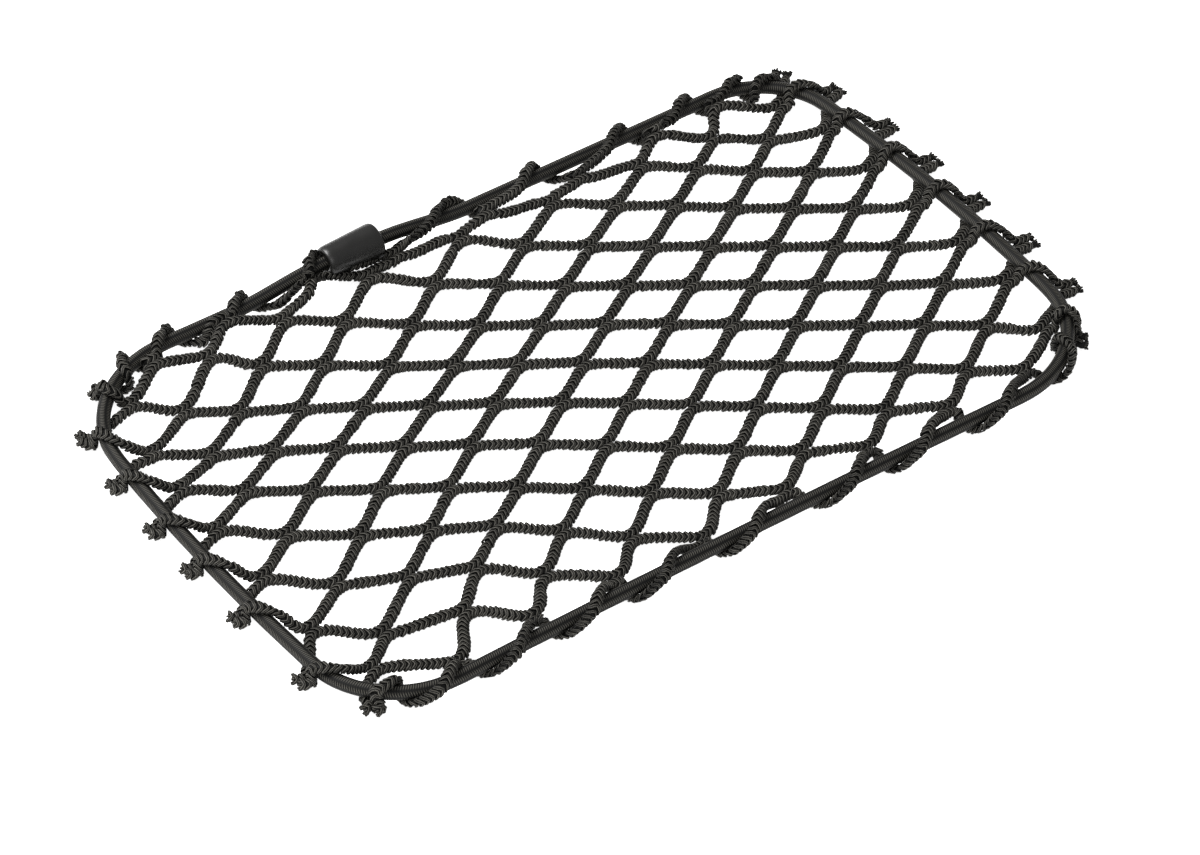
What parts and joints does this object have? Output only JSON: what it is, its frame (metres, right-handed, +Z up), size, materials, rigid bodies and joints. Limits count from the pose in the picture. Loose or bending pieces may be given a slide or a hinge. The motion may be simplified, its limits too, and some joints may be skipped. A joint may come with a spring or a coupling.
{
  "type": "elastic net pocket",
  "caption": "Knotless net panel laced all round onto a closed loop of elastic cord, with the cord ends joined in a tapered sleeve, lying flat.",
  "frame": {"origin": "centre of the laid-out pocket's plan box, on the surface it lies on", "axes": "+X along the long side of the rim, +Y across it towards the side with the sleeve, +Z up from the surface"},
  "size_m": [0.3782, 0.2322, 0.0173],
  "materials": {
    "net": "matt black polyester knotless net, knitted legs",
    "cord": "matt black braided polyester jacket over a rubber core",
    "sleeve": "satin black moulded plastic"
  },
  "bodies": {
    "root": {"net_panel": "net", "elastic_cord": "cord", "cord_ferrule": "sleeve"}
  },
  "joints": []
}
